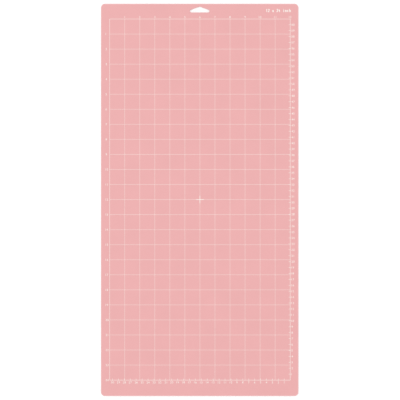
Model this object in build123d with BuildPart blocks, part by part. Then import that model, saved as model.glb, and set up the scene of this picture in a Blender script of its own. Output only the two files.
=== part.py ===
"""Self healing cutting mat: five plies of PVC pressed into one sheet, with white print on its face.

Frame: origin at the centre of the underside, +X across the mat, +Y towards the hanging slot, +Z up.
Sizes are in millimetres.
"""

import os

from build123d import *

os.makedirs("parts", exist_ok=True)

# ---------- Sheet ----------
sheet_width = 333.2
sheet_length = 662.1
corner_radius = 6.5
edge_round = 0.2  # on the two skins, where the cutting die rolls the soft edge over

# ---------- Plies, from the table up ----------
base_ply_thickness = 0.8
lower_backing_thickness = 0.45
core_thickness = 0.5
upper_backing_thickness = 0.45
face_ply_thickness = 0.8

# ---------- Hanging slot, shaped like a coat hanger ----------
slot_width = 33.0
slot_side_height = 4.2
slot_rise = 5.9  # from the top of the sides to the sharp peak, before it is rounded
slot_foot_below_edge = 14.6
slot_corner_radius = 2.3
slot_peak_radius = 2.5

# ---------- Print ----------
print_thickness = 0.05
inch = 25.4
centimetre = 10.0
side_margin_min = 14.0
top_margin = 25.65
bottom_margin_min = 26.0
line_width = 0.33
border_width = 0.5
scale_side_extra = 0.1  # how much further out the border runs along the two scales
print_shift = 0.35  # how far right of the sheet's middle the print sits
cross_span = 13.2
cross_arm_width = 1.0
tick_width = 0.5
tick_inside = 2.4
tick_outside = 0.6

numeral_height = 3.5
numeral_width = 2.3
numeral_spacing = 0.6
numeral_stroke = 0.5
top_numeral_gap = 1.3  # from the border's outer edge to the numerals' feet
left_numeral_gap = 1.3  # from the two-digit column to the border's outer edge
scale_numeral_gap = 1.2  # from the outer ends of the ticks to the numerals

legend_height = 5.2
legend_width = 2.85  # of one character
legend_spacing = 0.72
legend_stroke = 1.1
legend_from_side = 12.8
legend_centre_below_edge = 11.3

# ---------- Worked out from the sizes above ----------
lower_backing_z = base_ply_thickness
core_z = lower_backing_z + lower_backing_thickness
upper_backing_z = core_z + core_thickness
face_ply_z = upper_backing_z + upper_backing_thickness
print_z = face_ply_z + face_ply_thickness

cells_across = int((sheet_width - 2 * side_margin_min) // inch)
cells_along = int((sheet_length - top_margin - bottom_margin_min) // inch)
grid_width = cells_across * inch
grid_length = cells_along * inch
grid_left = print_shift - grid_width / 2
grid_right = print_shift + grid_width / 2
grid_top = sheet_length / 2 - top_margin
grid_bottom = grid_top - grid_length
cross_x = grid_left + (cells_across // 2) * inch
cross_y = grid_top - (cells_along // 2) * inch
grid_centre = (print_shift, (grid_top + grid_bottom) / 2)
right_scale_x = grid_right + border_width / 2 + scale_side_extra
bottom_scale_y = grid_bottom - border_width / 2 - scale_side_extra
right_marks = int((grid_length - border_width) // centimetre)
bottom_marks = int((grid_width - border_width) // centimetre)
legend_text = f"{cells_across} x {cells_along} inch"

face_plane = Plane.XY.offset(print_z)
two_digit_width = 2 * numeral_width + numeral_spacing


def ply_outline():
    """The outline that every ply is die cut to: round corners, and the hanging slot near the top edge."""
    slot_foot = sheet_length / 2 - slot_foot_below_edge
    half = slot_width / 2
    shoulder = slot_foot + slot_side_height
    peak = shoulder + slot_rise
    with BuildSketch() as slot:
        with BuildLine():
            Polyline(
                (-half, slot_foot),
                (half, slot_foot),
                (half, shoulder),
                (0, peak),
                (-half, shoulder),
                close=True,
            )
        make_face()
        peak_corner = slot.vertices().sort_by(Axis.Y)[-1]
        side_corners = slot.vertices().sort_by(Axis.Y)[:-1]
        side_round = min(slot_corner_radius, 0.55 * slot_side_height)  # two rounds share each side
        fillet(side_corners, side_round)
        fillet(slot.vertices().sort_by_distance(peak_corner)[0], slot_peak_radius)
    with BuildSketch() as outline:
        RectangleRounded(sheet_width, sheet_length, corner_radius)
        add(slot.sketch, mode=Mode.SUBTRACT)
    return outline.sketch


def stroke_glyph(character, width, height, stroke):
    """One plain character with strokes of even width, its lower left corner at the origin."""
    w = width - stroke
    h = height - stroke
    bowl = w / 2  # radius of the lower round of 3, 5, 6 and 8
    top_bowl = h / 2 - bowl  # radius of the upper round of 3 and 8
    low = 0.65 * h  # height of the lower case letters
    foot = -stroke / 2  # where an upright stroke is cut off below
    head = h + stroke / 2  # and above

    def draw(*corners):
        with BuildLine() as path:
            Polyline(*corners)
        trace(path.line, line_width=stroke)

    def bow(centre, radius, start, sweep_angle):
        with BuildLine() as path:
            CenterArc(centre, radius, start, sweep_angle)
        trace(path.line, line_width=stroke)

    def rings(*centres_and_radii):
        for side, mode in ((stroke / 2, Mode.ADD), (-stroke / 2, Mode.SUBTRACT)):
            for centre, radius in centres_and_radii:
                with Locations(centre):
                    Circle(radius + side, mode=mode)

    with BuildSketch() as face:
        if character == "0":
            with Locations((w / 2, h / 2)):
                SlotOverall(h + stroke, w + stroke, rotation=90)
                SlotOverall(h - stroke, w - stroke, rotation=90, mode=Mode.SUBTRACT)
        elif character == "1":
            draw((0.6 * w, foot), (0.6 * w, head))
            draw((0.1 * w, 0.72 * h), (0.6 * w, h))
        elif character == "2":
            with BuildLine():
                crown = CenterArc((bowl, h - bowl), bowl, 170, -215)
                Polyline(crown @ 1, (0.1 * w, 0), (w, 0))
            trace(line_width=stroke)
        elif character == "3":
            bow((bowl, h - top_bowl), top_bowl, 150, -240)
            bow((bowl, bowl), bowl, 90, -250)
        elif character == "4":
            draw((0.3 * w, h), (0, 0.35 * h), (w, 0.35 * h))
            draw((0.7 * w, 0.65 * h), (0.7 * w, foot))
        elif character == "5":
            with BuildLine():
                belly = CenterArc((bowl, bowl), bowl, 140, -280)
                Polyline(belly @ 0, ((belly @ 0).X, h), (0.95 * w, h))
            trace(line_width=stroke)
        elif character in "69":
            rings(((bowl, bowl), bowl))
            with BuildLine():
                TangentArc((0, bowl), (0.8 * w, h), tangent=(0, 1))
            trace(line_width=stroke)
        elif character == "7":
            draw((0, h), (w, h), (0.3 * w, foot))
        elif character == "8":
            rings(((bowl, bowl), bowl), ((bowl, h - top_bowl), top_bowl))
        elif character == "x":
            draw((0, foot), (w, low))
            draw((0, low), (w, foot))
        elif character == "i":
            draw((bowl, foot), (bowl, low))
            draw((bowl, head - stroke), (bowl, head))
        elif character in "nh":
            draw((0, foot), (0, head if character == "h" else low))
            bow((bowl, low - bowl), bowl, 180, -180)
            draw((w, low - bowl), (w, foot))
        elif character == "c":
            bow((bowl, low - bowl), bowl, 30, 150)
            draw((0, low - bowl), (0, bowl))
            bow((bowl, bowl), bowl, 180, 150)

    glyph = face.sketch.moved(Location((stroke / 2, stroke / 2)))
    if character == "9":
        glyph = glyph.rotate(Axis((width / 2, height / 2, 0), (0, 0, 1)), 180)
    return glyph


def print_characters(spots, width, height, spacing, stroke):
    """Prints words or numbers in the sketch being built, each spot being its text, left end and foot."""
    for character in sorted(set("".join(text for text, _, _ in spots)) - {" "}):
        places = [
            (left + place * (width + spacing), foot)
            for text, left, foot in spots
            for place, printed in enumerate(text)
            if printed == character
        ]
        with Locations(*places):
            add(stroke_glyph(character, width, height, stroke))


def print_numerals(spots):
    print_characters(spots, numeral_width, numeral_height, numeral_spacing, numeral_stroke)


def text_width(text):
    return len(text) * numeral_width + (len(text) - 1) * numeral_spacing


sheet = ply_outline()

# ---------- Plies ----------

# The soft skin that meets the table.
with BuildPart() as base_ply:
    with BuildSketch():
        add(sheet)
    extrude(amount=base_ply_thickness)
    fillet(base_ply.faces().sort_by(Axis.Z)[0].edges(), edge_round)
base_ply.part.label = "base_ply"
export_step(base_ply.part, "parts/base_ply.step")

# The semi-rigid ply that bonds the base skin to the core.
with BuildPart() as lower_backing_ply:
    with BuildSketch(Plane.XY.offset(lower_backing_z)):
        add(sheet)
    extrude(amount=lower_backing_thickness)
lower_backing_ply.part.label = "lower_backing_ply"
export_step(lower_backing_ply.part, "parts/lower_backing_ply.step")

# The stiff core that keeps the mat flat.
with BuildPart() as core_ply:
    with BuildSketch(Plane.XY.offset(core_z)):
        add(sheet)
    extrude(amount=core_thickness)
core_ply.part.label = "core_ply"
export_step(core_ply.part, "parts/core_ply.step")

# The semi-rigid ply that bonds the core to the face skin.
with BuildPart() as upper_backing_ply:
    with BuildSketch(Plane.XY.offset(upper_backing_z)):
        add(sheet)
    extrude(amount=upper_backing_thickness)
upper_backing_ply.part.label = "upper_backing_ply"
export_step(upper_backing_ply.part, "parts/upper_backing_ply.step")

# The soft self healing skin that takes the blade and carries the print.
with BuildPart() as face_ply:
    with BuildSketch(Plane.XY.offset(face_ply_z)):
        add(sheet)
    extrude(amount=face_ply_thickness)
    fillet(face_ply.faces().sort_by(Axis.Z)[-1].edges(), edge_round)
face_ply.part.label = "face_ply"
export_step(face_ply.part, "parts/face_ply.step")

# ---------- Print: the border and what crosses it ----------

# The frame line round the grid, on the grid's outer lines and heavier along the two scales.
with BuildPart() as grid_border:
    with BuildSketch(face_plane):
        frame_extra = border_width + scale_side_extra
        with Locations((print_shift + scale_side_extra / 2, grid_centre[1] - scale_side_extra / 2)):
            Rectangle(grid_width + frame_extra, grid_length + frame_extra)
        with Locations(grid_centre):
            Rectangle(grid_width - border_width, grid_length - border_width, mode=Mode.SUBTRACT)
    extrude(amount=print_thickness)
grid_border.part.label = "grid_border"
export_step(grid_border.part, "parts/grid_border.step")

# Centimetre ticks on the right border, counted upwards from the bottom right corner. Each is printed as a
# stub on either side of the border line.
with BuildPart() as right_cm_ticks:
    with BuildSketch(face_plane) as right_ticks:
        for mark in range(1, right_marks + 1):
            mark_y = grid_bottom + mark * centimetre
            with Locations((grid_right - (border_width + tick_inside) / 2, mark_y)):
                Rectangle(tick_inside, tick_width)
            with Locations((right_scale_x + tick_outside / 2, mark_y)):
                Rectangle(tick_outside, tick_width)
    extrude(amount=print_thickness)
right_cm_ticks.part.label = "right_cm_ticks"
export_step(right_cm_ticks.part, "parts/right_cm_ticks.step")

# Centimetre ticks on the bottom border, counted leftwards from the bottom right corner.
with BuildPart() as bottom_cm_ticks:
    with BuildSketch(face_plane) as bottom_ticks:
        for mark in range(1, bottom_marks + 1):
            mark_x = grid_right - mark * centimetre
            with Locations((mark_x, grid_bottom + (border_width + tick_inside) / 2)):
                Rectangle(tick_width, tick_inside)
            with Locations((mark_x, bottom_scale_y - tick_outside / 2)):
                Rectangle(tick_width, tick_outside)
    extrude(amount=print_thickness)
bottom_cm_ticks.part.label = "bottom_cm_ticks"
export_step(bottom_cm_ticks.part, "parts/bottom_cm_ticks.step")

# ---------- Print: the grid and its centre ----------

# The upright cross on the crossing nearest the grid's centre.
with BuildPart() as centre_cross:
    with BuildSketch(face_plane) as cross:
        with Locations((cross_x, cross_y)):
            Rectangle(cross_span, cross_arm_width)
            Rectangle(cross_arm_width, cross_span)
    extrude(amount=print_thickness)
centre_cross.part.label = "centre_cross"
export_step(centre_cross.part, "parts/centre_cross.step")

# The one inch net inside the border. It stops at the cross and at the ticks, which are ink as well.
with BuildPart() as grid_lines:
    with BuildSketch(face_plane):
        with Locations(grid_centre):
            with GridLocations(inch, inch, cells_across - 1, 1):
                Rectangle(line_width, grid_length - border_width)
            with GridLocations(inch, inch, 1, cells_along - 1):
                Rectangle(grid_width - border_width, line_width)
        add(cross.sketch_local, mode=Mode.SUBTRACT)
        add(right_ticks.sketch_local, mode=Mode.SUBTRACT)
        add(bottom_ticks.sketch_local, mode=Mode.SUBTRACT)
    extrude(amount=print_thickness)
grid_lines.part.label = "grid_lines"
export_step(grid_lines.part, "parts/grid_lines.step")

# ---------- Print: numerals and legend ----------

# Inches from left to right, each centred over its grid line.
with BuildPart() as top_inch_numerals:
    with BuildSketch(face_plane):
        foot = grid_top + border_width / 2 + top_numeral_gap
        print_numerals(
            [
                (str(n), grid_left + n * inch - text_width(str(n)) / 2, foot)
                for n in range(1, cells_across + 1)
            ]
        )
    extrude(amount=print_thickness)
top_inch_numerals.part.label = "top_inch_numerals"
export_step(top_inch_numerals.part, "parts/top_inch_numerals.step")

# Inches from top to bottom, each level with its grid line, in one left-aligned column.
with BuildPart() as left_inch_numerals:
    with BuildSketch(face_plane):
        column_left = grid_left - border_width / 2 - left_numeral_gap - two_digit_width
        print_numerals(
            [
                (str(n), column_left, grid_top - n * inch - numeral_height / 2)
                for n in range(1, cells_along + 1)
            ]
        )
    extrude(amount=print_thickness)
left_inch_numerals.part.label = "left_inch_numerals"
export_step(left_inch_numerals.part, "parts/left_inch_numerals.step")

# Centimetres up the right side, each level with its tick.
with BuildPart() as right_cm_numerals:
    with BuildSketch(face_plane):
        column_left = right_scale_x + tick_outside + scale_numeral_gap
        print_numerals(
            [
                (str(n), column_left, grid_bottom + n * centimetre - numeral_height / 2)
                for n in range(1, right_marks + 1)
            ]
        )
    extrude(amount=print_thickness)
right_cm_numerals.part.label = "right_cm_numerals"
export_step(right_cm_numerals.part, "parts/right_cm_numerals.step")

# Centimetres along the bottom from right to left, each centred under its tick.
with BuildPart() as bottom_cm_numerals:
    with BuildSketch(face_plane):
        foot = bottom_scale_y - tick_outside - scale_numeral_gap - numeral_height
        print_numerals(
            [
                (str(n), grid_right - n * centimetre - text_width(str(n)) / 2, foot)
                for n in range(1, bottom_marks + 1)
            ]
        )
    extrude(amount=print_thickness)
bottom_cm_numerals.part.label = "bottom_cm_numerals"
export_step(bottom_cm_numerals.part, "parts/bottom_cm_numerals.step")

# The size of the grid, in bolder characters near the top right corner.
with BuildPart() as size_legend:
    with BuildSketch(face_plane):
        legend_length = len(legend_text) * (legend_width + legend_spacing) - legend_spacing
        legend_left = sheet_width / 2 - legend_from_side - legend_length
        legend_foot = sheet_length / 2 - legend_centre_below_edge - legend_height / 2
        print_characters(
            [(legend_text, legend_left, legend_foot)],
            legend_width,
            legend_height,
            legend_spacing,
            legend_stroke,
        )
    extrude(amount=print_thickness)
size_legend.part.label = "size_legend"
export_step(size_legend.part, "parts/size_legend.step")
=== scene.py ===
"""The self healing mat as it looks: five plies of soft and stiff PVC with a white measuring print."""

import math

import bmesh
import bpy
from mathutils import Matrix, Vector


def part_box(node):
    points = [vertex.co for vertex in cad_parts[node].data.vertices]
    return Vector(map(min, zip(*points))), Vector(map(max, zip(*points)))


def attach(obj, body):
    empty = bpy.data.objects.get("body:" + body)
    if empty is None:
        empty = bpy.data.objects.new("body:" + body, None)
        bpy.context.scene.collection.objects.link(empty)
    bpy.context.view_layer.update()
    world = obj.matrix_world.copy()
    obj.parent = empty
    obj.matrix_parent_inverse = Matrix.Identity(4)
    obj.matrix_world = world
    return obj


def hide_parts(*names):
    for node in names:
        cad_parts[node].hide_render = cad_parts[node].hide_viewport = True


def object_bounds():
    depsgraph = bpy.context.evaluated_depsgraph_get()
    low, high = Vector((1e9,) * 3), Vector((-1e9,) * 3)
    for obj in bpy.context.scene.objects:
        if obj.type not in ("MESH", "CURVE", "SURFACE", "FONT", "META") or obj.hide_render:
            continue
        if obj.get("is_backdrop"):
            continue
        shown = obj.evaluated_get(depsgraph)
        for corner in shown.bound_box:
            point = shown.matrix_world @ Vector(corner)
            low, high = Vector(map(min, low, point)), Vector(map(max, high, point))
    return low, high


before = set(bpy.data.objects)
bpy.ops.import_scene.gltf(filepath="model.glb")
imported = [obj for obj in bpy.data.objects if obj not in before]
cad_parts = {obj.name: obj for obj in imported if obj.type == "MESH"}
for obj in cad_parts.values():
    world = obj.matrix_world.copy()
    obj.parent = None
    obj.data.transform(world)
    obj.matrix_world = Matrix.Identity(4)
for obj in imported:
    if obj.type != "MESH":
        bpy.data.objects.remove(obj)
cad_low, cad_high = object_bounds()
scene = bpy.context.scene


# ---------------------------------------------------------------------------
# The plies.
# Five sheets of PVC, pressed together hot and then die cut as one: a soft skin on each side, a thin
# bonding ply under each skin, and a stiff core. The die rounds the corners, punches the hanger-shaped slot
# and rolls the skins' outer edges over. Each ply keeps a hair of a seam where it meets the next.
# ---------------------------------------------------------------------------

mm = 0.001

corner_radius = 6.5 * mm
corner_steps = 20
skin_round = 0.2 * mm
seam_round = 0.03 * mm
round_steps = 4
weld = 0.002 * mm  # points nearer to each other than this are made one

slot_width = 33.0 * mm
slot_side = 4.2 * mm
slot_rise = 5.9 * mm
slot_foot_below_edge = 14.6 * mm
slot_corner_radius = 2.3 * mm
slot_peak_radius = 2.5 * mm


def new_tree(name, inputs):
    """An empty Geometry Nodes tree; inputs maps each named input to its kind and value."""
    tree = bpy.data.node_groups.new(name, "GeometryNodeTree")
    for label, (kind, value) in inputs.items():
        socket = tree.interface.new_socket(label, in_out="INPUT", socket_type="NodeSocket" + kind)
        if value is not None:
            socket.default_value = value
    tree.interface.new_socket("Geometry", in_out="OUTPUT", socket_type="NodeSocketGeometry")
    return tree, tree.nodes.new("NodeGroupInput").outputs


def add_node(tree, kind, links=None, values=None, **settings):
    """A node with its settings made first, then its fixed values, then what runs into it."""
    node = tree.nodes.new(kind)
    for key, value in settings.items():
        setattr(node, key, value)
    for key, value in (values or {}).items():
        node.inputs[key].default_value = value
    for key, source in (links or {}).items():
        tree.links.new(source, node.inputs[key])
    return node


def calc(tree, operation, *terms):
    """A Math node on sockets or plain numbers, giving its output."""
    node = tree.nodes.new("ShaderNodeMath")
    node.operation = operation
    for place, term in enumerate(terms):
        if isinstance(term, (int, float)):
            node.inputs[place].default_value = term
        else:
            tree.links.new(term, node.inputs[place])
    return node.outputs[0]


def point(tree, x=0.0, y=0.0, z=0.0):
    """A Combine XYZ node on sockets or plain numbers, giving its vector."""
    node = tree.nodes.new("ShaderNodeCombineXYZ")
    for place, term in enumerate((x, y, z)):
        if isinstance(term, (int, float)):
            node.inputs[place].default_value = term
        else:
            tree.links.new(term, node.inputs[place])
    return node.outputs[0]


def by_index(tree, kind, sources):
    """Picks one of several sockets by the index of the point."""
    node = tree.nodes.new("GeometryNodeIndexSwitch")
    node.data_type = kind
    while len(node.index_switch_items) < len(sources):
        node.index_switch_items.new()
    tree.links.new(tree.nodes.new("GeometryNodeInputIndex").outputs[0], node.inputs["Index"])
    for place, source in enumerate(sources):
        if isinstance(source, (int, float)):
            node.inputs[place + 1].default_value = source
        else:
            tree.links.new(source, node.inputs[place + 1])
    return node.outputs[0]


def finish_tree(tree, given, geometry):
    """Ends a tree: loose copies made real, the material set."""
    real = add_node(tree, "GeometryNodeRealizeInstances", {"Geometry": geometry})
    painted = add_node(
        tree, "GeometryNodeSetMaterial", {"Geometry": real.outputs[0], "Material": given["Material"]}
    )
    add_node(tree, "NodeGroupOutput", {0: painted.outputs[0]})
    return tree


def grow(tree, name, values):
    """Runs a tree by itself and keeps the result as a plain mesh, with its place in the mesh."""
    piece = bpy.data.objects.new(name, bpy.data.meshes.new(name + "_start"))
    scene.collection.objects.link(piece)
    making = piece.modifiers.new("making", "NODES")
    making.node_group = tree
    for item in tree.interface.items_tree:
        if item.item_type == "SOCKET" and item.in_out == "INPUT" and item.name in values:
            making[item.identifier] = values[item.name]
    graph = bpy.context.evaluated_depsgraph_get()
    mesh = bpy.data.meshes.new_from_object(piece.evaluated_get(graph))
    piece.modifiers.remove(making)
    piece.data = mesh
    mesh.name = name
    if mesh.materials[0] is None:
        mesh.materials.pop(index=0)
    return piece


def ply_tree():
    tree, given = new_tree(
        "die_cut_ply",
        {
            "Width": ("Float", 0.3),
            "Length": ("Float", 0.6),
            "Corner Radius": ("Float", corner_radius),
            "Corner Steps": ("Int", corner_steps),
            "Slot Width": ("Float", slot_width),
            "Slot Foot": ("Float", 0.3),
            "Slot Side": ("Float", slot_side),
            "Slot Rise": ("Float", slot_rise),
            "Slot Corner Radius": ("Float", slot_corner_radius),
            "Slot Peak Radius": ("Float", slot_peak_radius),
            "Underside": ("Float", 0.0),
            "Top": ("Float", 0.001),
            "Lower Round": ("Float", seam_round),
            "Upper Round": ("Float", seam_round),
            "Material": ("Material", None),
        },
    )
    sheet = add_node(
        tree, "GeometryNodeCurvePrimitiveQuadrilateral", {"Width": given["Width"], "Height": given["Length"]}
    )
    sheet = add_node(
        tree,
        "GeometryNodeFilletCurve",
        {"Curve": sheet.outputs[0], "Count": given["Corner Steps"], "Radius": given["Corner Radius"]},
        mode="POLY",
    )

    # The slot runs the other way round, so that the material lies on the same side of both outlines.
    half = calc(tree, "MULTIPLY", given["Slot Width"], 0.5)
    minus_half = calc(tree, "MULTIPLY", half, -1.0)
    shoulder = calc(tree, "ADD", given["Slot Foot"], given["Slot Side"])
    peak = calc(tree, "ADD", shoulder, given["Slot Rise"])
    corners = [
        point(tree, minus_half, given["Slot Foot"]),
        point(tree, minus_half, shoulder),
        point(tree, 0.0, peak),
        point(tree, half, shoulder),
        point(tree, half, given["Slot Foot"]),
    ]
    slot = add_node(tree, "GeometryNodeCurvePrimitiveCircle", values={"Resolution": len(corners)})
    slot = add_node(
        tree,
        "GeometryNodeSetPosition",
        {"Geometry": slot.outputs[0], "Position": by_index(tree, "VECTOR", corners)},
    )
    side_radius, peak_radius = given["Slot Corner Radius"], given["Slot Peak Radius"]
    radii = by_index(tree, "FLOAT", [side_radius, side_radius, peak_radius, side_radius, side_radius])
    slot = add_node(
        tree,
        "GeometryNodeFilletCurve",
        {"Curve": slot.outputs[0], "Count": given["Corner Steps"], "Radius": radii},
        mode="POLY",
    )
    outlines = add_node(tree, "GeometryNodeJoinGeometry")
    tree.links.new(slot.outputs[0], outlines.inputs[0])
    tree.links.new(sheet.outputs[0], outlines.inputs[0])
    outlines = add_node(tree, "GeometryNodeSetCurveNormal", {"Curve": outlines.outputs[0]}, mode="Z_UP")
    outlines = outlines.outputs[0]

    # The edge: an upright line with both ends turned in over the faces. A profile's Y runs downwards here.
    def reverse(socket):
        return calc(tree, "MULTIPLY", socket, -1.0)

    lower_y, upper_y = reverse(given["Underside"]), reverse(given["Top"])
    ends = [
        point(tree, reverse(given["Lower Round"]), lower_y),
        point(tree, 0.0, lower_y),
        point(tree, 0.0, upper_y),
        point(tree, reverse(given["Upper Round"]), upper_y),
    ]
    edge = add_node(tree, "GeometryNodeMeshLine", values={"Count": len(ends)})
    edge = add_node(
        tree,
        "GeometryNodeSetPosition",
        {"Geometry": edge.outputs[0], "Position": by_index(tree, "VECTOR", ends)},
    )
    edge = add_node(tree, "GeometryNodeMeshToCurve", {"Mesh": edge.outputs[0]})
    rounds = by_index(tree, "FLOAT", [0.0, given["Lower Round"], given["Upper Round"], 0.0])
    edge = add_node(
        tree,
        "GeometryNodeFilletCurve",
        {"Curve": edge.outputs[0], "Radius": rounds},
        {"Count": round_steps},
        mode="POLY",
    )
    wall = add_node(
        tree, "GeometryNodeCurveToMesh", {"Curve": outlines, "Profile Curve": edge.outputs[0]}
    )
    wall = add_node(tree, "GeometryNodeFlipFaces", {"Mesh": wall.outputs[0]})

    # The two faces, filled between the outlines where the edge's ends reach, then lifted to their level.
    faces = []
    for level, radius in ((given["Underside"], given["Lower Round"]), (given["Top"], given["Upper Round"])):
        inward = add_node(
            tree,
            "ShaderNodeVectorMath",
            {0: add_node(tree, "GeometryNodeInputNormal").outputs[0], "Scale": reverse(radius)},
            operation="SCALE",
        )
        loop = add_node(
            tree, "GeometryNodeSetPosition", {"Geometry": outlines, "Offset": inward.outputs[0]}
        )
        filled = add_node(tree, "GeometryNodeFillCurve", {"Curve": loop.outputs[0]})
        lifted = add_node(
            tree, "GeometryNodeSetPosition", {"Geometry": filled.outputs[0], "Offset": point(tree, z=level)}
        )
        faces.append(lifted.outputs[0])
    faces[0] = add_node(tree, "GeometryNodeFlipFaces", {"Mesh": faces[0]}).outputs[0]

    shell = add_node(tree, "GeometryNodeJoinGeometry")
    for part in (wall.outputs[0], *faces):
        tree.links.new(part, shell.inputs[0])
    shell = add_node(tree, "GeometryNodeMergeByDistance", {"Geometry": shell.outputs[0]}, {"Distance": weld})
    return finish_tree(tree, given, shell.outputs[0])


def mix(tree, kind, factor, a, b):
    """A Mix node for colours or values, giving its output."""
    node = tree.nodes.new("ShaderNodeMix")
    node.data_type = kind
    first = {"RGBA": 6, "FLOAT": 2}[kind]
    for place, term in ((0, factor), (first, a), (first + 1, b)):
        if isinstance(term, bpy.types.NodeSocket):
            tree.links.new(term, node.inputs[place])
        else:
            node.inputs[place].default_value = term
    return node.outputs[{"RGBA": 2, "FLOAT": 0}[kind]]


def shader_group(name, inputs, outputs):
    """An empty shader node group with named inputs and outputs."""
    tree = bpy.data.node_groups.new(name, "ShaderNodeTree")
    for label, value in inputs.items():
        tree.interface.new_socket(label, in_out="INPUT", socket_type="NodeSocketFloat").default_value = value
    for label in outputs:
        tree.interface.new_socket(label, in_out="OUTPUT", socket_type="NodeSocketFloat")
    return tree, tree.nodes.new("NodeGroupInput").outputs, tree.nodes.new("NodeGroupOutput").inputs


def pebble_grain_group():
    """The fine pebbled grain of calendered PVC, and the slow drift in its colour across a sheet."""
    tree, given, gives = shader_group(
        "pebble_grain", {"Pebbles Per Metre": 1800.0, "Softness": 0.6}, ("Height", "Drift", "Speckle")
    )
    spot = add_node(tree, "ShaderNodeTexCoord").outputs["Object"]
    pebbles = add_node(
        tree,
        "ShaderNodeTexVoronoi",
        {"Vector": spot, "Scale": given["Pebbles Per Metre"], "Smoothness": given["Softness"]},
        feature="SMOOTH_F1",
    )
    fine = add_node(
        tree,
        "ShaderNodeTexNoise",
        {"Vector": spot, "Scale": calc(tree, "MULTIPLY", given["Pebbles Per Metre"], 2.3)},
        {"Detail": 2.0},
    )
    drift = add_node(tree, "ShaderNodeTexNoise", {"Vector": spot}, {"Scale": 22.0, "Detail": 3.0})
    tree.links.new(mix(tree, "FLOAT", 0.35, pebbles.outputs["Distance"], fine.outputs[0]), gives["Height"])
    tree.links.new(drift.outputs[0], gives["Drift"])
    tree.links.new(fine.outputs[0], gives["Speckle"])
    return tree


pebble_grain = pebble_grain_group()
ply_low, ply_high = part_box("face_ply")
sheet_width = ply_high.x - ply_low.x
sheet_length = ply_high.y - ply_low.y


def edge_band_group():
    """How near a spot lies to the sheet's cut outline, from 0 well inside to 1 at the edge."""
    tree, given, gives = shader_group("edge_band", {"Band": 2.0 * mm}, ("Nearness",))
    spot = add_node(tree, "ShaderNodeTexCoord").outputs["Object"]
    axes = add_node(tree, "ShaderNodeSeparateXYZ", {0: spot}).outputs
    past = []
    for axis, size in ((axes["X"], sheet_width), (axes["Y"], sheet_length)):
        past.append(calc(tree, "SUBTRACT", calc(tree, "ABSOLUTE", axis), size / 2 - corner_radius))
    outside = point(tree, calc(tree, "MAXIMUM", past[0], 0.0), calc(tree, "MAXIMUM", past[1], 0.0))
    reach = add_node(tree, "ShaderNodeVectorMath", {0: outside}, operation="LENGTH").outputs["Value"]
    within = calc(tree, "MINIMUM", calc(tree, "MAXIMUM", past[0], past[1]), 0.0)
    distance = calc(tree, "SUBTRACT", corner_radius, calc(tree, "ADD", reach, within))
    share = calc(tree, "DIVIDE", distance, given["Band"])
    nearness = add_node(
        tree,
        "ShaderNodeMapRange",
        {"Value": share},
        {"To Min": 1.0, "To Max": 0.0},
        interpolation_type="SMOOTHSTEP",
    )
    tree.links.new(nearness.outputs[0], gives["Nearness"])
    return tree


edge_band = edge_band_group()


def cut_side_group():
    """Where the cut side is, from 0 on the faces to 1, and the scratches that the die leaves on it."""
    tree, given, gives = shader_group("cut_side", {"Scratches Per Metre": 2600.0}, ("Side", "Scratches"))
    facing = add_node(tree, "ShaderNodeNewGeometry").outputs["True Normal"]
    upright = calc(tree, "ABSOLUTE", add_node(tree, "ShaderNodeSeparateXYZ", {0: facing}).outputs["Z"])
    side = add_node(
        tree,
        "ShaderNodeMapRange",
        {"Value": upright},
        {"From Min": 0.2, "From Max": 0.6, "To Min": 1.0, "To Max": 0.0},
    )
    drawn_out = add_node(
        tree,
        "ShaderNodeVectorMath",
        {0: add_node(tree, "ShaderNodeTexCoord").outputs["Object"]},
        {1: (1.0, 1.0, 0.06)},
        operation="MULTIPLY",
    )
    scratches = add_node(
        tree,
        "ShaderNodeTexNoise",
        {"Vector": drawn_out.outputs[0], "Scale": given["Scratches Per Metre"]},
        {"Detail": 3.0, "Roughness": 0.65},
    )
    tree.links.new(side.outputs[0], gives["Side"])
    tree.links.new(scratches.outputs[0], gives["Scratches"])
    return tree


cut_side = cut_side_group()


def pvc(name, colour, roughness, grain_depth, drift_share, edge_share, pebbles=1800.0):
    """Matte PVC: pebbled grain, a slow drift of colour, a paler rub along the cut edge, a scratched side."""
    material = bpy.data.materials.new(name)
    material.use_nodes = True
    tree = material.node_tree
    skin = tree.nodes["Principled BSDF"]
    skin.inputs["IOR"].default_value = 1.46
    skin.inputs["Specular IOR Level"].default_value = 0.4

    grain = add_node(tree, "ShaderNodeGroup", node_tree=pebble_grain)
    grain.inputs["Pebbles Per Metre"].default_value = pebbles
    band = add_node(tree, "ShaderNodeGroup", node_tree=edge_band)
    cut = add_node(tree, "ShaderNodeGroup", node_tree=cut_side).outputs

    deep = [c * (1.0 - drift_share) for c in colour] + [1.0]
    light = [min(1.0, c * (1.0 + drift_share)) for c in colour] + [1.0]
    rub_paleness = 0.35
    rubbed = [c + (1.0 - c) * rub_paleness for c in colour] + [1.0]
    drifting = mix(tree, "RGBA", grain.outputs["Drift"], deep, light)
    rub = calc(tree, "MULTIPLY", band.outputs[0], edge_share)
    worn = mix(tree, "RGBA", rub, drifting, rubbed)
    scratch_shade = 0.86
    scored = mix(tree, "RGBA", cut["Scratches"], [c * scratch_shade for c in colour] + [1.0], rubbed)
    tree.links.new(mix(tree, "RGBA", cut["Side"], worn, scored), skin.inputs["Base Color"])

    satin_play = 0.08
    satin = mix(tree, "FLOAT", grain.outputs["Speckle"], roughness - satin_play, roughness + satin_play)
    tree.links.new(mix(tree, "FLOAT", cut["Side"], satin, roughness + 0.15), skin.inputs["Roughness"])
    height = mix(tree, "FLOAT", cut["Side"], grain.outputs["Height"], cut["Scratches"])
    bump = add_node(tree, "ShaderNodeBump", {"Height": height}, {"Strength": 0.6, "Distance": grain_depth})
    tree.links.new(bump.outputs[0], skin.inputs["Normal"])
    return material


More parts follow.
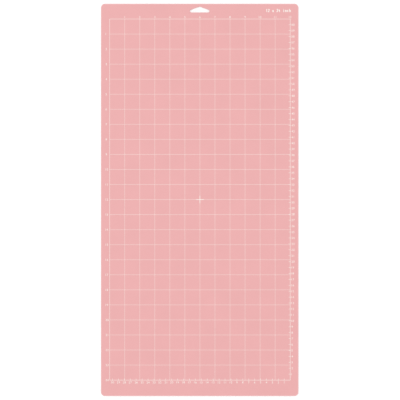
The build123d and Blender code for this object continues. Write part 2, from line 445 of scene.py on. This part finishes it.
pink = (0.735, 0.367, 0.367)
face_skin = pvc("face_skin_pvc", pink, 0.5, 0.05 * mm, 0.03, 0.25)
base_skin = pvc("base_skin_pvc", pink, 0.58, 0.09 * mm, 0.04, 0.25, pebbles=1200.0)
bonding_pvc = pvc("bonding_pvc", (0.80, 0.55, 0.54), 0.6, 0.02 * mm, 0.03, 0.0)
core_pvc = pvc("core_pvc", (0.80, 0.77, 0.74), 0.65, 0.02 * mm, 0.02, 0.0)

die_cut_ply = ply_tree()
for node, name, slot_name, material, lower, upper in (
    ("base_ply", "base_skin", "base_skin", base_skin, skin_round, seam_round),
    ("lower_backing_ply", "lower_bonding_sheet", "backing", bonding_pvc, seam_round, seam_round),
    ("core_ply", "stiff_core", "core", core_pvc, seam_round, seam_round),
    ("upper_backing_ply", "upper_bonding_sheet", "backing", bonding_pvc, seam_round, seam_round),
    ("face_ply", "face_skin", "face_skin", face_skin, seam_round, skin_round),
):
    low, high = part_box(node)
    ply = grow(
        die_cut_ply,
        name,
        {
            "Width": high.x - low.x,
            "Length": high.y - low.y,
            "Slot Foot": high.y - slot_foot_below_edge,
            "Underside": low.z,
            "Top": high.z,
            "Lower Round": lower,
            "Upper Round": upper,
            "Material": material,
        },
    )
    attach(ply, "root")
    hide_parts(node)


# ---------------------------------------------------------------------------
# The ruled net.
# Cream white vinyl ink, screen printed on the face skin in one pass: a one inch net inside a heavier frame
# line. The film is a twentieth of a millimetre thick, keeps the weave of the screen, and has pinholes.
# ---------------------------------------------------------------------------

inch = 25.4 * mm
line_width = 0.33 * mm
border_width = 0.5 * mm
scale_side_extra = 0.1 * mm  # how much further out the frame line runs along the two scales


def screen_ink(name, colour, shown_through):
    """Screen ink: the skin's colour shows through pinholes, and the screen's threads leave a fine weave."""
    material = bpy.data.materials.new(name)
    material.use_nodes = True
    tree = material.node_tree
    film = tree.nodes["Principled BSDF"]
    film.inputs["IOR"].default_value = 1.48
    film.inputs["Specular IOR Level"].default_value = 0.45

    grain = add_node(tree, "ShaderNodeGroup", node_tree=pebble_grain)
    grain.inputs["Pebbles Per Metre"].default_value = 2600.0
    pinholes = add_node(
        tree,
        "ShaderNodeMapRange",
        {"Value": grain.outputs["Speckle"]},
        {"From Min": 0.56, "From Max": 0.72, "To Max": 0.5},
    )
    drifting = mix(
        tree, "RGBA", grain.outputs["Drift"], [c * 0.97 for c in colour] + [1.0], list(colour) + [1.0]
    )
    inked = mix(tree, "RGBA", pinholes.outputs[0], drifting, list(shown_through) + [1.0])
    tree.links.new(inked, film.inputs["Base Color"])
    tree.links.new(mix(tree, "FLOAT", grain.outputs["Speckle"], 0.36, 0.56), film.inputs["Roughness"])

    threads_per_metre = 4700.0
    axes = add_node(
        tree, "ShaderNodeSeparateXYZ", {0: add_node(tree, "ShaderNodeTexCoord").outputs["Object"]}
    ).outputs
    waves = [calc(tree, "SINE", calc(tree, "MULTIPLY", axes[a], math.tau * threads_per_metre)) for a in "XY"]
    weave = calc(tree, "MULTIPLY", *waves)
    height = mix(tree, "FLOAT", 0.4, grain.outputs["Height"], weave)
    bump = add_node(tree, "ShaderNodeBump", {"Height": height}, {"Strength": 0.5, "Distance": 0.015 * mm})
    tree.links.new(bump.outputs[0], film.inputs["Normal"])
    return material


ink = screen_ink("cream_screen_ink", (0.87, 0.83, 0.77), pink)


def slab(tree, flat, thickness):
    """A flat mesh given a thickness upwards, with its underside closed."""
    raised = add_node(
        tree,
        "GeometryNodeExtrudeMesh",
        {"Mesh": flat, "Offset": point(tree, z=1.0), "Offset Scale": thickness},
        {"Individual": False},
    )
    underside = add_node(tree, "GeometryNodeFlipFaces", {"Mesh": flat})
    both = add_node(tree, "GeometryNodeJoinGeometry")
    tree.links.new(raised.outputs["Mesh"], both.inputs[0])
    tree.links.new(underside.outputs[0], both.inputs[0])
    merged = add_node(tree, "GeometryNodeMergeByDistance", {"Geometry": both.outputs[0]}, {"Distance": weld})
    return merged.outputs[0]


def ruled_net_tree():
    tree, given = new_tree(
        "ruled_net",
        {
            "Cells Across": ("Int", 12),
            "Cells Along": ("Int", 24),
            "Cell": ("Float", inch),
            "Left": ("Float", 0.0),
            "Bottom": ("Float", 0.0),
            "Line Width": ("Float", line_width),
            "Border Width": ("Float", border_width),
            "Scale Side Extra": ("Float", scale_side_extra),
            "Underside": ("Float", 0.003),
            "Thickness": ("Float", 0.05 * mm),
            "Material": ("Material", None),
        },
    )
    # A lattice with two rows of points for each line, one for either edge of it, a unit apart.
    counts = [given["Cells Across"], given["Cells Along"]]
    rows = [calc(tree, "MULTIPLY_ADD", count, 2.0, 2.0) for count in counts]
    spans = [calc(tree, "SUBTRACT", row, 1.0) for row in rows]
    lattice = add_node(
        tree,
        "GeometryNodeMeshGrid",
        {"Size X": spans[0], "Size Y": spans[1], "Vertices X": rows[0], "Vertices Y": rows[1]},
    )
    spot = add_node(tree, "GeometryNodeInputPosition").outputs[0]
    axes = add_node(tree, "ShaderNodeSeparateXYZ", {0: spot}).outputs

    # The insides of the cells, odd both ways, are cut out.
    odd = []
    for axis, span in zip("XY", spans):
        corner = calc(tree, "MULTIPLY_ADD", span, 0.5, calc(tree, "SUBTRACT", axes[axis], 0.5))
        odd.append(calc(tree, "FLOORED_MODULO", calc(tree, "ROUND", corner), 2.0))
    net = add_node(
        tree,
        "GeometryNodeDeleteGeometry",
        {"Geometry": lattice.outputs["Mesh"], "Selection": calc(tree, "MULTIPLY", *odd)},
        domain="FACE",
    )

    # Each point goes to its line's edge. The outermost lines are the frame, heavier along the two scales: the
    # last edge to the right and the first one from below go out a little further.
    places = []
    starts = (given["Left"], given["Bottom"])
    scale_edges = ((spans[0], 1.0), (0.0, -1.0))
    for axis, span, count, start, (scale_edge, outwards) in zip("XY", spans, counts, starts, scale_edges):
        row = calc(tree, "ROUND", calc(tree, "MULTIPLY_ADD", span, 0.5, axes[axis]))
        line = calc(tree, "FLOOR", calc(tree, "DIVIDE", row, 2.0))
        side = calc(tree, "SUBTRACT", calc(tree, "FLOORED_MODULO", row, 2.0), 0.5)
        from_ends = calc(tree, "MULTIPLY", line, calc(tree, "SUBTRACT", count, line))
        inside = calc(tree, "MINIMUM", from_ends, 1.0)
        width = mix(tree, "FLOAT", inside, given["Border Width"], given["Line Width"])
        centre = calc(tree, "MULTIPLY_ADD", line, given["Cell"], start)
        edge = calc(tree, "MULTIPLY_ADD", side, width, centre)
        on_scale = calc(tree, "MULTIPLY", calc(tree, "COMPARE", row, scale_edge, 0.5), outwards)
        places.append(calc(tree, "MULTIPLY_ADD", on_scale, given["Scale Side Extra"], edge))
    net = add_node(
        tree,
        "GeometryNodeSetPosition",
        {"Geometry": net.outputs[0], "Position": point(tree, *places, given["Underside"])},
    )
    return finish_tree(tree, given, slab(tree, net.outputs[0], given["Thickness"]))


border_low, border_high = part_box("grid_border")
grid_left = border_low.x + border_width / 2
grid_right = border_high.x - border_width / 2 - scale_side_extra
grid_bottom = border_low.y + border_width / 2 + scale_side_extra
grid_top = border_high.y - border_width / 2
cells_across = round((grid_right - grid_left) / inch)
cells_along = round((grid_top - grid_bottom) / inch)
ink_underside = border_low.z
ink_thickness = border_high.z - border_low.z

ruled_net = grow(
    ruled_net_tree(),
    "ruled_net",
    {
        "Cells Across": cells_across,
        "Cells Along": cells_along,
        "Left": grid_left,
        "Bottom": grid_bottom,
        "Underside": ink_underside,
        "Thickness": ink_thickness,
        "Material": ink,
    },
)
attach(ruled_net, "root")
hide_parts("grid_lines", "grid_border")


# ---------------------------------------------------------------------------
# The centre cross.
# A bolder upright cross printed on the crossing nearest the middle, to centre the work by. The same ink,
# a shade thicker where it lies over the net.
# ---------------------------------------------------------------------------

cross_arm_width = 1.0 * mm
over_net = 0.004 * mm

low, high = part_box("centre_cross")
middle = (low + high) / 2
half_arm = cross_arm_width / 2
across = [low.x, middle.x - half_arm, middle.x + half_arm, high.x]
along = [low.y, middle.y - half_arm, middle.y + half_arm, high.y]
corners = (
    (0, 1), (1, 1), (1, 0), (2, 0), (2, 1), (3, 1), (3, 2), (2, 2), (2, 3), (1, 3), (1, 2), (0, 2),
)
shape = bmesh.new()
face = shape.faces.new([shape.verts.new((across[i], along[j], low.z)) for i, j in corners])
top = bmesh.ops.extrude_face_region(shape, geom=[face], use_keep_orig=True)["geom"]
raised = [part for part in top if isinstance(part, bmesh.types.BMVert)]
bmesh.ops.translate(shape, verts=raised, vec=(0, 0, high.z - low.z + over_net))
bmesh.ops.recalc_face_normals(shape, faces=shape.faces)
cross_mesh = bpy.data.meshes.new("centre_mark")
shape.to_mesh(cross_mesh)
shape.free()
cross_mesh.materials.append(ink)
centre_mark = bpy.data.objects.new("centre_mark", cross_mesh)
scene.collection.objects.link(centre_mark)
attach(centre_mark, "root")
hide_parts("centre_cross")


# ---------------------------------------------------------------------------
# The centimetre ticks.
# Short printed bars, one a centimetre, that cross the right and bottom frame lines as a stub on either side:
# the inner one long enough to lay a rule against, the outer one short, beside its number.
# ---------------------------------------------------------------------------

centimetre = 10.0 * mm
tick_width = 0.5 * mm
tick_inside = 2.4 * mm
tick_outside = 0.6 * mm


def ticks_tree():
    tree, given = new_tree(
        "scale_ticks",
        {
            "Count": ("Int", 30),
            "First": ("Vector", (0.0, 0.0, 0.0)),
            "Step": ("Vector", (centimetre, 0.0, 0.0)),
            "Inner Stub": ("Vector", (0.001, 0.001, 0.001)),
            "Inner Centre": ("Vector", (0.0, 0.0, 0.0)),
            "Outer Stub": ("Vector", (0.001, 0.001, 0.001)),
            "Outer Centre": ("Vector", (0.0, 0.0, 0.0)),
            "Material": ("Material", None),
        },
    )
    marks = add_node(
        tree,
        "GeometryNodeMeshLine",
        {"Count": given["Count"], "Start Location": given["First"], "Offset": given["Step"]},
        mode="OFFSET",
    )
    pair = add_node(tree, "GeometryNodeJoinGeometry")
    for which in ("Inner", "Outer"):
        stub = add_node(tree, "GeometryNodeMeshCube", {"Size": given[which + " Stub"]})
        placed = add_node(
            tree,
            "GeometryNodeTransform",
            {"Geometry": stub.outputs["Mesh"], "Translation": given[which + " Centre"]},
        )
        tree.links.new(placed.outputs[0], pair.inputs[0])
    copies = add_node(
        tree, "GeometryNodeInstanceOnPoints", {"Points": marks.outputs["Mesh"], "Instance": pair.outputs[0]}
    )
    return finish_tree(tree, given, copies.outputs[0])


scale_ticks = ticks_tree()
tick_thickness = ink_thickness + over_net
tick_z = ink_underside + tick_thickness / 2
inner_shift = (border_width + tick_inside) / 2
outer_shift = (border_width + tick_outside) / 2 + scale_side_extra
right_marks = int((grid_top - grid_bottom - border_width) // centimetre)
bottom_marks = int((grid_right - grid_left - border_width) // centimetre)
for node, name, count, first, step, inwards in (
    (
        "right_cm_ticks",
        "right_ticks",
        right_marks,
        (grid_right, grid_bottom + centimetre, tick_z),
        (0.0, centimetre, 0.0),
        (-1.0, 0.0),
    ),
    (
        "bottom_cm_ticks",
        "bottom_ticks",
        bottom_marks,
        (grid_right - centimetre, grid_bottom, tick_z),
        (-centimetre, 0.0, 0.0),
        (0.0, 1.0),
    ),
):
    values = {"Count": count, "First": first, "Step": step, "Material": ink}
    shifts = (("Inner", tick_inside, inner_shift), ("Outer", tick_outside, -outer_shift))
    for which, length, shift in shifts:
        upright = inwards[0] == 0.0
        values[which + " Stub"] = (
            tick_width if upright else length,
            length if upright else tick_width,
            tick_thickness,
        )
        values[which + " Centre"] = (inwards[0] * shift, inwards[1] * shift, 0.0)
    ticks = grow(scale_ticks, name, values)
    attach(ticks, "root")
    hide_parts(node)


# ---------------------------------------------------------------------------
# The numerals.
# Plain upright figures in the same ink: inches over the top line and down the left side, centimetres up the
# right side and along the bottom from right to left.
# ---------------------------------------------------------------------------

numeral_height = 3.5 * mm
figure_share = 0.691  # how much of the lettering's nominal size its figures stand high
figure_stretch = 1.07  # how much wider than usual the figures are cut
figure_spacing = 1.04
top_numeral_gap = 1.3 * mm
scale_numeral_gap = 1.2 * mm


def numerals_tree():
    tree, given = new_tree(
        "counted_numerals",
        {
            "Count": ("Int", 12),
            "First": ("Vector", (0.0, 0.0, 0.0)),
            "Step": ("Vector", (inch, 0.0, 0.0)),
            "Height": ("Float", numeral_height),
            "Spacing": ("Float", figure_spacing),
            "Stretch": ("Float", figure_stretch),
            "Centred": ("Float", 1.0),
            "Thickness": ("Float", 0.05 * mm),
            "Material": ("Material", None),
        },
    )
    turn = tree.nodes.new("GeometryNodeRepeatInput")
    gathered = tree.nodes.new("GeometryNodeRepeatOutput")
    turn.pair_with_output(gathered)
    tree.links.new(given["Count"], turn.inputs["Iterations"])
    past = turn.outputs["Iteration"]
    number = add_node(tree, "FunctionNodeValueToString", {"Value": calc(tree, "ADD", past, 1.0)})
    figures = add_node(
        tree,
        "GeometryNodeStringToCurves",
        {
            "String": number.outputs[0],
            "Size": calc(tree, "DIVIDE", given["Height"], figure_share),
            "Character Spacing": given["Spacing"],
        },
    )
    figures = add_node(
        tree, "GeometryNodeRealizeInstances", {"Geometry": figures.outputs["Curve Instances"]}
    )
    figures = add_node(
        tree,
        "GeometryNodeTransform",
        {"Geometry": figures.outputs[0], "Scale": point(tree, given["Stretch"], 1.0, 1.0)},
    )
    extent = add_node(
        tree, "GeometryNodeBoundBox", {"Geometry": figures.outputs[0]}, {"Use Radius": False}
    ).outputs
    left = add_node(tree, "ShaderNodeSeparateXYZ", {0: extent["Min"]}).outputs["X"]
    right = add_node(tree, "ShaderNodeSeparateXYZ", {0: extent["Max"]}).outputs["X"]
    held_at = mix(tree, "FLOAT", calc(tree, "MULTIPLY", given["Centred"], 0.5), left, right)
    to_mark = point(
        tree, calc(tree, "MULTIPLY", held_at, -1.0), calc(tree, "MULTIPLY", given["Height"], -0.5)
    )
    along = add_node(tree, "ShaderNodeVectorMath", {0: given["Step"], "Scale": past}, operation="SCALE")
    spot = add_node(tree, "ShaderNodeVectorMath", {0: along.outputs[0], 1: to_mark})
    placed = add_node(
        tree, "GeometryNodeSetPosition", {"Geometry": figures.outputs[0], "Offset": spot.outputs[0]}
    )
    joined = add_node(tree, "GeometryNodeJoinGeometry")
    tree.links.new(placed.outputs[0], joined.inputs[0])
    tree.links.new(turn.outputs["Geometry"], joined.inputs[0])
    tree.links.new(joined.outputs[0], gathered.inputs["Geometry"])

    outlines = add_node(
        tree, "GeometryNodeSetSplineResolution", {"Geometry": gathered.outputs["Geometry"]}, {"Resolution": 3}
    )
    filled = add_node(tree, "GeometryNodeFillCurve", {"Curve": outlines.outputs[0]})
    lifted = add_node(
        tree, "GeometryNodeSetPosition", {"Geometry": filled.outputs[0], "Offset": given["First"]}
    )
    return finish_tree(tree, given, slab(tree, lifted.outputs[0], given["Thickness"]))


counted_numerals = numerals_tree()
top_row_y = border_high.y + top_numeral_gap + numeral_height / 2
bottom_row_y = border_low.y - tick_outside - scale_numeral_gap - numeral_height / 2
left_column_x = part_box("left_inch_numerals")[0].x
right_column_x = border_high.x + tick_outside + scale_numeral_gap
for node, name, count, first, step, centred in (
    ("top_inch_numerals", "top_inches", cells_across, (grid_left + inch, top_row_y), (inch, 0.0), 1.0),
    ("left_inch_numerals", "left_inches", cells_along, (left_column_x, grid_top - inch), (0.0, -inch), 0.0),
    (
        "right_cm_numerals",
        "right_centimetres",
        right_marks,
        (right_column_x, grid_bottom + centimetre),
        (0.0, centimetre),
        0.0,
    ),
    (
        "bottom_cm_numerals",
        "bottom_centimetres",
        bottom_marks,
        (grid_right - centimetre, bottom_row_y),
        (-centimetre, 0.0),
        1.0,
    ),
):
    numerals = grow(
        counted_numerals,
        name,
        {
            "Count": count,
            "First": (*first, ink_underside),
            "Step": (*step, 0.0),
            "Centred": centred,
            "Thickness": ink_thickness,
            "Material": ink,
        },
    )
    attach(numerals, "root")
    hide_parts(node)


# ---------------------------------------------------------------------------
# The size legend.
# The size of the ruled net in bolder lettering of the same ink, near the top right corner. The part's own
# lettering stays, and takes the ink.
# ---------------------------------------------------------------------------

size_legend = bpy.data.objects["size_legend"]
for place in size_legend.material_slots:
    place.material = ink


# ---------------------------------------------------------------------------
# The stage.
# A pale floor that glows a little, so that it stays white, under soft and even light, and the camera
# straight above.
# ---------------------------------------------------------------------------

floor_mesh = bpy.data.meshes.new("floor")
reach = 6.0
floor_z = -0.2 * mm  # just clear of the mat's underside
floor_corners = [(x * reach, y * reach, floor_z) for x, y in ((-1, -1), (1, -1), (1, 1), (-1, 1))]
floor_mesh.from_pydata(floor_corners, [], [(0, 1, 2, 3)])
floor = bpy.data.objects.new("floor", floor_mesh)
scene.collection.objects.link(floor)
floor_paint = bpy.data.materials.new("floor_paint")
floor_paint.use_nodes = True
paint = floor_paint.node_tree.nodes["Principled BSDF"]
paint.inputs["Base Color"].default_value = (0.93, 0.93, 0.93, 1)
paint.inputs["Roughness"].default_value = 0.9
paint.inputs["Emission Color"].default_value = (1.0, 1.0, 1.0, 1)
paint.inputs["Emission Strength"].default_value = 0.07
floor_mesh.materials.append(floor_paint)
floor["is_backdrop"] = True

world = bpy.data.worlds.new("soft_room")
world.use_nodes = True
world.node_tree.nodes["Background"].inputs["Color"].default_value = (1.0, 1.0, 1.0, 1)
world.node_tree.nodes["Background"].inputs["Strength"].default_value = 0.85
scene.world = world

lamp = bpy.data.lights.new("overhead_softbox", "AREA")
lamp.shape = "SQUARE"
lamp.size = 3.5
lamp.energy = 46.0
lamp_object = bpy.data.objects.new("overhead_softbox", lamp)
lamp_x, lamp_y, lamp_z = -0.35, 0.25, 3.4
lamp_object.location = (lamp_x, lamp_y, lamp_z)
lamp_object.rotation_euler = (-math.atan2(lamp_y, lamp_z), math.atan2(lamp_x, lamp_z), 0)
lamp_object.visible_camera = False
scene.collection.objects.link(lamp_object)

camera = bpy.data.cameras.new("camera")
camera.lens = 200.0
camera.sensor_width = 36.0
camera.clip_end = 50.0
mat_share = 0.9804  # of the picture's height that the mat's length takes up
camera_height = sheet_length / mat_share * camera.lens / camera.sensor_width
camera_object = bpy.data.objects.new("camera", camera)
camera_x, camera_y = 0.48 * mm, -0.16 * mm  # a touch off the mat's middle
camera_object.location = (camera_x, camera_y, cad_high.z + camera_height)
scene.collection.objects.link(camera_object)
scene.camera = camera_object
scene.view_settings.view_transform = "Standard"

low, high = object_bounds()
